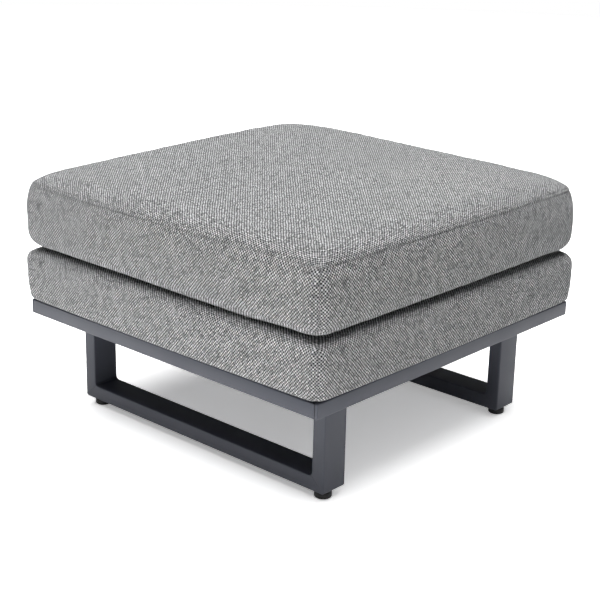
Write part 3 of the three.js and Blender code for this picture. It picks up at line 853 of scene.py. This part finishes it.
def settle(piece, held):
    """Fills the cover out with a short cloth simulation under pressure, then caps the move.
    held is how firmly each vertex keeps its place, from 0 to 1."""
    mesh = piece.data
    start = np.zeros(len(mesh.vertices) * 3)
    mesh.vertices.foreach_get("co", start)
    group = piece.vertex_groups.new(name="held")
    for weight in np.unique(held):
        group.add([int(i) for i in np.nonzero(held == weight)[0]], float(weight), "REPLACE")
    cloth = piece.modifiers.new("settle", "CLOTH")
    for key, value in FABRIC.items():
        setattr(cloth.settings, key, value)
    cloth.settings.effector_weights.gravity = 0
    cloth.collision_settings.use_collision = False
    cloth.point_cache.frame_start, cloth.point_cache.frame_end = 1, SETTLE_FRAMES
    scene = bpy.context.scene
    for number in range(1, SETTLE_FRAMES + 1):
        scene.frame_set(number)
    settled = piece.evaluated_get(bpy.context.evaluated_depsgraph_get()).data
    end = np.zeros_like(start)
    settled.vertices.foreach_get("co", end)
    piece.modifiers.remove(cloth)
    piece.vertex_groups.remove(group)
    scene.frame_set(1)
    move = (end - start).reshape(-1, 3)
    length = np.linalg.norm(move, axis=1, keepdims=True)
    move *= SETTLE_CAP * np.tanh(length / SETTLE_CAP) / np.maximum(length, 1e-12)
    mesh.vertices.foreach_set("co", start + move.ravel())
    mesh.update()


def seat_form(low, high):
    """The seat cushion: a band, and a top panel sewn on with a topstitched seam. Along its
    section relief gives (where, height in mm, width in mm, how dark its painted shade is), and
    hang gives (side, middle, width, drop) for the hem, which hangs lower near the front corner."""
    half = (high.x - low.x) / 2 - BOW
    section, low_edge, seam = seat_section(half, low.z)
    hem = section.arc[PROFILE_STEPS * 42 // 100]
    ridge, topstitch = seam + 3.6 * MM, seam + 6.6 * MM
    return {
        "section": section, "half": half, "growth": 0.9, "plump": 0.047, "wrapped": False,
        "front_radii": np.array([25, 28, 26, 21]) * MM,
        "back_radii": np.array([36, 38, 38, 36]) * MM,
        "band": np.concatenate([np.linspace(low_edge, seam - 5 * MM, BAND_CELLS - 2),
                                seam - np.array([2.6, 1.1, 0]) * MM]),
        "top": graded(seam, section.arc[-1], np.array([1.1, 2.4, 4, 5.6, 6.6, 7.6, 9.5]) * MM),
        "bottom": graded(low_edge, 0, [4 * MM, 8 * MM, 12 * MM]),
        "crown": 14 * MM, "crown_power": 2.2, "crown_from": seam, "crown_to": seam + 50 * MM,
        "relief": ((seam, -1.3, 0.8, 0.5), (ridge, 1.2, 1.9, 0), (topstitch, -0.8, 0.8, 0.3),
                   (hem, -0.7, 1.0, 0.3)),
        "corner_from": hem, "corner_to": seam, "stitched": topstitch, "seed": 3,
        "hem": (section.arc[1], section.arc[PROFILE_STEPS * 26 // 64]),
        "hang": ((FRONT, 90 * MM, 110 * MM, 2.8 * MM), (FRONT, 175 * MM, 40 * MM, 3 * MM),
                 (RIGHT, 125 * MM, 140 * MM, -6.6 * MM)),
    }


def base_form(low, high):
    """The base cushion, whose cover wraps over its top edge without a seam."""
    half = (high.x - low.x) / 2 - BOW
    section, low_edge, high_edge = base_section(half, low.z, high.z)
    end = section.arc[-1]
    return {
        "section": section, "half": half, "growth": 0.0, "plump": 0.0, "wrapped": True,
        "front_radii": np.array([22, 22, 20, 16]) * MM,
        "back_radii": np.array([22, 24, 26, 29]) * MM,
        "band": np.linspace(low_edge, high_edge, BAND_CELLS + 1),
        "top": graded(high_edge, end, [4 * MM, 8 * MM]),
        "bottom": graded(low_edge, 0, [4 * MM, 8 * MM]),
        "crown": 0.0, "crown_power": 2.0, "crown_from": high_edge, "crown_to": end, "relief": (),
        "corner_from": 0, "corner_to": end, "stitched": None, "seed": 7, "hem": (0, 0), "hang": (),
    }


def wander(places, size, seed):
    """Smooth noise from about -1 to 1 at each place, with grains about this wide."""
    off = Vector((seed, 2 * seed, 3 * seed))
    return np.array([noise.noise(Vector(place) / size + off) for place in places]) * 1.6


def seam_slack(places):
    """How loose the front seam lies at each vertex, from 0 to 1: it eases towards its ends."""
    right = np.clip((places[:, 0] - 0.02) / 0.2, 0, 1)
    left = np.clip((-0.25 - places[:, 0]) / 0.08, 0, 1)
    return (right + left) * (places[:, 1] < -0.3)


def seam_relief_and_shade(form, arc, corner_gap, uneven, slack):
    """How far each vertex stands out at a seam, in metres, and how dark its painted groove shade
    is.
    uneven is how much more or less the cloth is gathered at each vertex, and slack how loose
    the seam lies there."""
    corner_width, corner_depth, corner_painted_shade = 1.1 * MM, 1.1 * MM, 0.55
    # dark holds painted shade for the grooves of the seams and of the upright corner seams
    out, dark = np.zeros(len(arc)), np.zeros(len(arc))
    for place, height, width, shade in form["relief"]:
        near = np.exp(-((arc - place) / (width * MM)) ** 2) * (1 - 0.65 * slack)
        out += near * height * MM * (1 + 0.4 * uneven)
        dark = np.maximum(dark, near * shade * np.clip(1 + 0.7 * uneven, 0, 1.4))
    upright = np.exp(-(corner_gap / corner_width) ** 2)
    upright *= (arc > form["corner_from"]) & (arc < form["corner_to"])
    return out - upright * corner_depth, np.maximum(dark, upright * corner_painted_shade)


def hem_hang(form, arc, places):
    """How far the cover hangs below its even line just over its resting edge, in metres."""
    hang = np.zeros(len(arc))
    start, end = form["hem"]
    for side, middle, width, drop in form["hang"]:
        along, out = places[:, :2] @ RUNS[side], places[:, :2] @ FACES[side]
        on = (arc > start) & (arc < end) & (out > form["half"] * 0.8)
        belly = np.sin(math.pi * np.clip((arc - start) / (end - start), 0, 1)) ** 2
        hang += on * belly * drop * np.exp(-((along - middle) / width) ** 2)
    return hang


def vertex_values(mesh, name):
    values = np.zeros(len(mesh.vertices) * 3)
    mesh.vertices.foreach_get(name, values)
    return values


def build_cushion(name, form_of):
    """Cover over its foam: cut to form, settled by a simulation, then seamed and dented. The
    seam and corner grooves get painted shade.
    """
    low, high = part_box(f"{name}_cover")
    form = form_of(low, high)
    seed = form["seed"]
    bm, arc, places, corner_gap = cushion_mesh(form)
    piece = finish_piece(f"{name}_cloth", bm, finish("cover_weave"))
    mesh = piece.data
    # dark is the painted shade of the seam and corner grooves
    relief, dark = seam_relief_and_shade(form, arc, corner_gap, wander(places, 18 * MM, seed),
                               seam_slack(places))
    still = (places[:, 2] < low.z + RESTING_DEPTH) | (places[:, 1] > high.y - REAR_DEPTH)
    if form["wrapped"]:
        still |= places[:, 2] > high.z - RESTING_DEPTH
    settle(piece, np.where(still | (dark > 0.2), 1.0, SETTLE_HOLD))
    dents = 0.5 * wander(places, 70 * MM, seed + 5) + 0.25 * wander(places, 26 * MM, seed + 9)
    relief += np.where(still, 0, dents * MM)
    place = vertex_values(mesh, "co") + vertex_values(mesh, "normal") * np.repeat(relief, 3)
    place[2::3] -= hem_hang(form, arc, places)
    mesh.vertices.foreach_set("co", place)
    mesh.update()
    # The seam attribute carries the painted groove shade to the cloth material
    attribute = mesh.attributes.new("seam", "FLOAT", "POINT")
    attribute.data.foreach_set("value", dark.astype(np.float32))
    smooth = piece.modifiers.new("smooth", "SUBSURF")
    smooth.levels = smooth.render_levels = 1
    declare(piece, name, [f"{name}_cover", f"{name}_foam"])
    if form["stitched"]:
        ring = np.nonzero(np.abs(arc - form["stitched"]) < 0.01 * MM)[0]
        ring = ring[np.argsort(np.arctan2(places[ring, 1], places[ring, 0]))]
        row = stitches(*(vertex_values(mesh, kind).reshape(-1, 3)[ring]
                         for kind in ("co", "normal")))
        add_piece(f"{name}_topstitch", row, "seam_thread", name)


# Zips

def weave_on_back(bm):
    """Carries the weave of the cover's back on to a piece that lies on it."""
    layer = bm.loops.layers.uv.new("weave")
    for face in bm.faces:
        for loop in face.loops:
            loop[layer].uv = (-loop.vert.co.x, loop.vert.co.z)


def build_zip(name):
    """The cover folded back round the opening, the tape, two rows of teeth and their stops."""
    node = f"{name}_zip"
    low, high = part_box(node)
    long, wide = (high.x - low.x) / 2, (high.z - low.z) / 2
    stand = Matrix.Translation(((low.x + high.x) / 2, high.y, (low.z + high.z) / 2)) @ STAND
    fold = tube_loop(long + FOLD_WIDTH - wide + FOLD_GAP, FOLD_GAP + FOLD_WIDTH, FOLD_WIDTH,
                     *FOLD_CORNERS, FOLD_DEPTH, FOLD_EDGE)
    shift(fold, (0, 0, FOLD_DEPTH / 2 - FOLD_RISE))
    carry(fold, stand)
    weave_on_back(fold)
    add_piece(f"{node}_fold", fold, "cover_weave", name, crisp=CRISP_CLOTH)
    tape = straight_tube(Vector((low.x, high.y - TAPE_SUNK, low.z)),
                         Vector((high.x, high.y + TAPE_PROUD, high.z)), 0, 0.2 * MM, 0.15 * MM)
    add_piece(f"{node}_tape", tape, "zip_tape", name, [node], CRISP)
    reach = long - FOLD_WIDTH + FOLD_GAP - 5 * MM
    count = int(2 * reach / TOOTH_PITCH)
    rise = -TOOTH_SUNK - TOOTH.z / 2
    places = [stand @ Matrix.Translation(((i / 2 - count / 2) * TOOTH_PITCH,
                                          TOOTH_STAGGER if i % 2 else -TOOTH_STAGGER, rise))
              for i in range(2 * count + 1)]
    add_piece(f"{node}_teeth", blocks(places, TOOTH, TOOTH_EDGE), "glide_plastic", name)
    places = [stand @ Matrix.Translation((hand * (reach + 1.5 * MM), 0, rise)) for hand in (1, -1)]
    stops = blocks(places, (STOP_WIDTH, STOP_HEIGHT, TOOTH.z), STOP_EDGE)
    add_piece(f"{node}_stops", stops, "glide_plastic", name)
    along, up = long + FOLD_GAP - wide + FOLD_WIDTH - FOLD_SEAM, FOLD_GAP + FOLD_WIDTH - FOLD_SEAM
    row = stitches([stand @ Vector((x * along, y * up, -FOLD_RISE)) for x, y in CORNERS],
                   [(0, 1, 0)] * 4)
    add_piece(f"{node}_stitches", row, "seam_thread", name)


def slider_bridge(place):
    """The arch on the slider that the pull's ring hangs from: a flat bar bent over."""
    width, thick, radius, squashed = 1.8 * MM, 0.9 * MM, 2.8 * MM, 0.29
    bm = bmesh.new()
    bmesh.ops.create_grid(bm, x_segments=1, y_segments=1, size=0.5)
    carry(bm, Matrix.Translation((radius, 0, 0)) @ STAND @ Matrix.Diagonal((thick, width, 1, 1)))
    bmesh.ops.spin(bm, geom=bm.faces[:], cent=ORIGIN, axis=UP, angle=math.pi, steps=16,
                   use_merge=False)
    face_out(bm)
    soften(bm, [e for e in bm.edges if e.calc_face_angle(0) > 0.8], 0.15 * MM, 2)
    carry(bm, Matrix.Translation(place) @ Matrix.Diagonal((1, squashed, 1, 1)))
    return bm


def build_slider(name):
    """Zip slider: a waisted body over the teeth, its bridge, and the pull that hangs from it."""
    node = f"{name}_zip_slider"
    low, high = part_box(node)
    x, half = (low.x + high.x) / 2, (high.x - low.x) / 2
    tape_low, tape_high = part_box(f"{name}_zip")
    z, wide = (tape_low.z + tape_high.z) / 2, high.z - (tape_low.z + tape_high.z) / 2

    def part(x_half, z_low, z_high, y_low, y_high, corner, edge):
        """A rounded plate, between two heights and two distances behind the tape in mm."""
        return straight_tube(Vector((x - x_half, low.y + y_low * MM, z_low)),
                             Vector((x + x_half, low.y + y_high * MM, z_high)), 1, corner, edge)

    plate = part(half, z - wide, z + wide, 1.2, 1.9, 2.4 * MM, 0.2 * MM)
    flanges = [part(half - 1 * MM, *sorted((z + hand * wide, z + hand * (wide - 0.6 * MM))),
                    0, 1.3, 0.2 * MM, 0.1 * MM) for hand in (1, -1)]
    bridge = slider_bridge((x, low.y + 1.75 * MM, z))
    ring = tube_loop(2.5 * MM, 3.2 * MM, 0.9 * MM, 1.8 * MM, 1 * MM, 0.75 * MM, 0.2 * MM)
    carry(ring, Matrix.Translation((x, low.y + 2.3 * MM, z - 2.4 * MM)) @ STAND)
    grip = part(2.5 * MM, low.z, z - 5.2 * MM, 1.75, 2.6, 1.6 * MM, 0.2 * MM)
    faces = [f for f in grip.faces if f.normal.y > 0.99]
    bmesh.ops.inset_region(grip, faces=faces, thickness=0.7 * MM, depth=0)
    bmesh.ops.inset_region(grip, faces=faces, thickness=0.2 * MM, depth=-0.2 * MM)
    bm = joined(plate, *flanges, bridge, ring, grip)
    add_piece(f"{node}_body", bm, "zinc_steel", f"{name.split('_')[0]}_zip_slider", [node],
              CRISP_SMALL)


# Studio

def backdrop():
    """A world that the camera sees white and that shines dimly in gloss. It lights nothing."""
    s = Shader(bpy.data.worlds.new("studio"))
    path = s.node("ShaderNodeLightPath").outputs
    seen = s.math("MAXIMUM", path["Is Camera Ray"], s.times(
        path["Is Glossy Ray"], bpy.context.scene.ottoman_studio.backdrop_gloss))
    white = s.node("ShaderNodeBackground", {"Color": (1, 1, 1, 1), "Strength": seen})
    s.node("ShaderNodeOutputWorld", {"Surface": white.outputs[0]})
    return s.owner


def add_lamp(name, kind, energy, place, back, **options):
    """A lamp that shines away from back, and that the camera doesn't see."""
    lamp = bpy.data.lights.new(name, kind)
    lamp.energy = energy
    for key, value in options.items():
        setattr(lamp, key, value)
    holder = bpy.data.objects.new(name, lamp)
    bpy.context.scene.collection.objects.link(holder)
    holder.location = place
    holder.rotation_mode = "QUATERNION"
    holder.rotation_quaternion = Vector(back).to_track_quat("Z", "Y")
    holder.visible_camera = False
    return holder


def build_stage():
    """A round floor, the backdrop, a wide soft light from above, a card on the floor that
    lifts the front, a lamp that lights only the floor, and the camera."""
    scene = bpy.context.scene
    studio = scene.ottoman_studio
    scene.view_settings.view_transform = "Standard"
    bm = bmesh.new()
    bmesh.ops.create_circle(bm, cap_ends=True, segments=96, radius=FLOOR_RADIUS)
    shift(bm, (0, 0, -0.1 * MM))
    floor = finish_piece("studio_floor", bm, finish("studio_floor"))
    scene.world = backdrop()
    add_lamp("overhead", "SUN", studio.overhead_light, (0, 0, 3), (-0.05, -0.06, 1),
             angle=math.radians(64))
    wash = add_lamp("floor_wash", "SUN", studio.wash_light, (2, -1, 3), (0.45, -0.3, 1),
                    angle=math.radians(80))
    receivers = bpy.data.collections.new("lit_by_floor_wash")
    receivers.objects.link(floor)
    wash.light_linking.receiver_collection = receivers
    add_lamp("floor_card", "AREA", studio.card_light, (0.05, -0.78, 3 * MM), (0, 0, -1),
             shape="RECTANGLE", size=1.8, size_y=0.64)
    build_camera(scene)


def build_camera(scene):
    """A camera where the photograph was taken from, level but for a small roll."""
    azimuth, elevation, roll = (math.radians(angle) for angle in CAMERA_ANGLES.values())
    back = Vector((math.sin(azimuth) * math.cos(elevation),
                   -math.cos(azimuth) * math.cos(elevation), math.sin(elevation)))
    right = (-back).cross(UP).normalized()
    up = right.cross(-back)
    turn = Matrix.Rotation(roll, 3, back)
    right, up = turn @ right, turn @ up
    camera = bpy.data.cameras.new("camera")
    camera.sensor_width, camera.lens = SENSOR_MM, SENSOR_MM * FOCAL_PIXELS / PICTURE_PIXELS
    holder = bpy.data.objects.new("camera", camera)
    scene.collection.objects.link(holder)
    matrix = Matrix((right, up, back)).transposed().to_4x4()
    matrix.translation = Vector(CAMERA_PLACE)
    holder.matrix_world = matrix
    scene.camera = holder


# Add-on

def length(name, description, default, least=0.5 * MM):
    return FloatProperty(name=name, description=description, default=default, min=least,
                         unit="LENGTH")


def paint(name, description, default):
    return FloatVectorProperty(name=name, description=description, default=default, min=0, max=1,
                               subtype="COLOR")


def fraction(name, description, default):
    return FloatProperty(name=name, description=description, default=default, min=0, max=1,
                         subtype="FACTOR")


def strength(name, description, default):
    return FloatProperty(name=name, description=description, default=default, min=0)


class OttomanSizes(bpy.types.PropertyGroup):
    """Roundings of the tubes, and the pitch of the weave"""
    tube_edge: length("Tube edge", "Rounding of the tubes' long edges", 2.2 * MM)
    slat_edge: length("Slat edge", "Rounding of the slats' long edges", 2 * MM)
    rail_corner: length("Rail corner", "Rounding of the ground rail corners", 2.4 * MM, 2.3 * MM)
    sled_corner: length("Sled corner", "Rounding outside the sled's corners", 4.5 * MM, 2.3 * MM)
    sled_fillet: length("Sled fillet", "Weld fillet inside the sled's corners", 7 * MM, 1 * MM)
    weave_across: length("Weave across", "Width of one yarn crossing", 2.63 * MM)
    weave_up: length("Weave up", "Height of one yarn crossing", 2.72 * MM)


class OttomanColours(bpy.types.PropertyGroup):
    """Colours of the ottoman's finishes and of the floor"""
    frame: paint("Frame", "Powder coat", (0.074, 0.0795, 0.102))
    steel: paint("Steel", "Zinc plated fixings", (0.44, 0.44, 0.43))
    glide: paint("Glides", "Moulded plastic", (0.006, 0.006, 0.0065))
    light_yarn: paint("Light yarn", "Warp of the cover", (0.84, 0.846, 0.855))
    dark_yarn: paint("Dark yarn", "Weft of the cover", (0.018, 0.019, 0.021))
    tape: paint("Zip tape", "Tape of the zips", (0.075, 0.078, 0.08))
    thread: paint("Thread", "Stitching of the covers", (0.09, 0.093, 0.097))
    floor: paint("Floor", "Studio floor", (0.72, 0.72, 0.72))


class OttomanStudio(bpy.types.PropertyGroup):
    """Lights and reflections of the studio"""
    floor_lift: strength("Floor lift", "Light that the camera adds to the floor", 0.35)
    floor_bounce: fraction("Floor bounce", "How much light the floor returns", 0.65)
    backdrop_gloss: fraction("Backdrop gloss", "How white reflections see the backdrop", 0.15)
    overhead_light: strength("Overhead light", "Strength of the ceiling softbox", 3.5)
    wash_light: strength("Floor wash", "Strength of the lamp that lights only the floor", 1.0)
    card_light: strength("Floor card", "Power of the card on the floor in front", 3.5)


class OTTOMAN_OT_stage(bpy.types.Operator):
    """Builds the camera, the studio floor, the backdrop and the lights"""
    bl_idname = "ottoman.stage"
    bl_label = "Studio"

    def execute(self, context):
        build_stage()
        return {"FINISHED"}


class OTTOMAN_OT_seat_frame(bpy.types.Operator):
    """Builds the mitred rails, the cross bars and the slats"""
    bl_idname = "ottoman.seat_frame"
    bl_label = "Seat frame"

    def execute(self, context):
        build_seat_frame()
        return {"FINISHED"}


class OTTOMAN_OT_sled_legs(bpy.types.Operator):
    """Builds the two sled legs from mitred tube"""
    bl_idname = "ottoman.sled_legs"
    bl_label = "Sled legs"

    def execute(self, context):
        build_sled_legs()
        return {"FINISHED"}


class OTTOMAN_OT_glides(bpy.types.Operator):
    """Builds the four glide pads and their stems"""
    bl_idname = "ottoman.glides"
    bl_label = "Glides"

    def execute(self, context):
        build_glides()
        return {"FINISHED"}


class OTTOMAN_OT_fixings(bpy.types.Operator):
    """Builds the screws and washers that hold the sleds"""
    bl_idname = "ottoman.fixings"
    bl_label = "Screws and washers"

    def execute(self, context):
        build_fixings()
        return {"FINISHED"}


class OTTOMAN_OT_base_cushion(bpy.types.Operator):
    """Builds the lower cushion, whose cover wraps over its top edge"""
    bl_idname = "ottoman.base_cushion"
    bl_label = "Base cushion"

    def execute(self, context):
        build_cushion("base_cushion", base_form)
        return {"FINISHED"}


class OTTOMAN_OT_seat_cushion(bpy.types.Operator):
    """Builds the upper cushion, with its sewn top panel"""
    bl_idname = "ottoman.seat_cushion"
    bl_label = "Seat cushion"

    def execute(self, context):
        build_cushion("seat_cushion", seat_form)
        return {"FINISHED"}


class OTTOMAN_OT_zips(bpy.types.Operator):
    """Builds the zip in the back of each cushion"""
    bl_idname = "ottoman.zips"
    bl_label = "Zips"

    def execute(self, context):
        for name in CUSHIONS:
            build_zip(name)
        return {"FINISHED"}


class OTTOMAN_OT_zip_sliders(bpy.types.Operator):
    """Builds the slider and pull of each zip"""
    bl_idname = "ottoman.zip_sliders"
    bl_label = "Zip sliders"

    def execute(self, context):
        for name in CUSHIONS:
            build_slider(name)
        return {"FINISHED"}


BUILDERS = (OTTOMAN_OT_stage, OTTOMAN_OT_seat_frame, OTTOMAN_OT_sled_legs, OTTOMAN_OT_fixings,
            OTTOMAN_OT_glides, OTTOMAN_OT_base_cushion, OTTOMAN_OT_seat_cushion, OTTOMAN_OT_zips,
            OTTOMAN_OT_zip_sliders)


SETTINGS = {"ottoman_sizes": OttomanSizes, "ottoman_colours": OttomanColours,
            "ottoman_studio": OttomanStudio}


class OTTOMAN_PT_builder(bpy.types.Panel):
    """Lists the settings and the builders"""
    bl_idname = "OTTOMAN_PT_builder"
    bl_label = "Outdoor ottoman"
    bl_space_type = "VIEW_3D"
    bl_region_type = "UI"
    bl_category = "Ottoman"

    def draw(self, context):
        for group, kind in SETTINGS.items():
            for name in kind.__annotations__:
                self.layout.prop(getattr(context.scene, group), name)
        for builder in BUILDERS:
            self.layout.operator(builder.bl_idname)


CLASSES = (*SETTINGS.values(), *BUILDERS, OTTOMAN_PT_builder)


def register():
    for cls in CLASSES:
        bpy.utils.register_class(cls)
    for group, kind in SETTINGS.items():
        setattr(bpy.types.Scene, group, PointerProperty(type=kind))


def unregister():
    for group in SETTINGS:
        delattr(bpy.types.Scene, group)
    for cls in reversed(CLASSES):
        bpy.utils.unregister_class(cls)


def main():
    """Builds everything in order."""
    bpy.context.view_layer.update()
    register()
    bpy.ops.ottoman.stage()
    bpy.ops.ottoman.seat_frame()
    bpy.ops.ottoman.sled_legs()
    bpy.ops.ottoman.fixings()
    bpy.ops.ottoman.glides()
    bpy.ops.ottoman.base_cushion()
    bpy.ops.ottoman.seat_cushion()
    bpy.ops.ottoman.zips()
    bpy.ops.ottoman.zip_sliders()


if __name__ == "__main__":
    main()
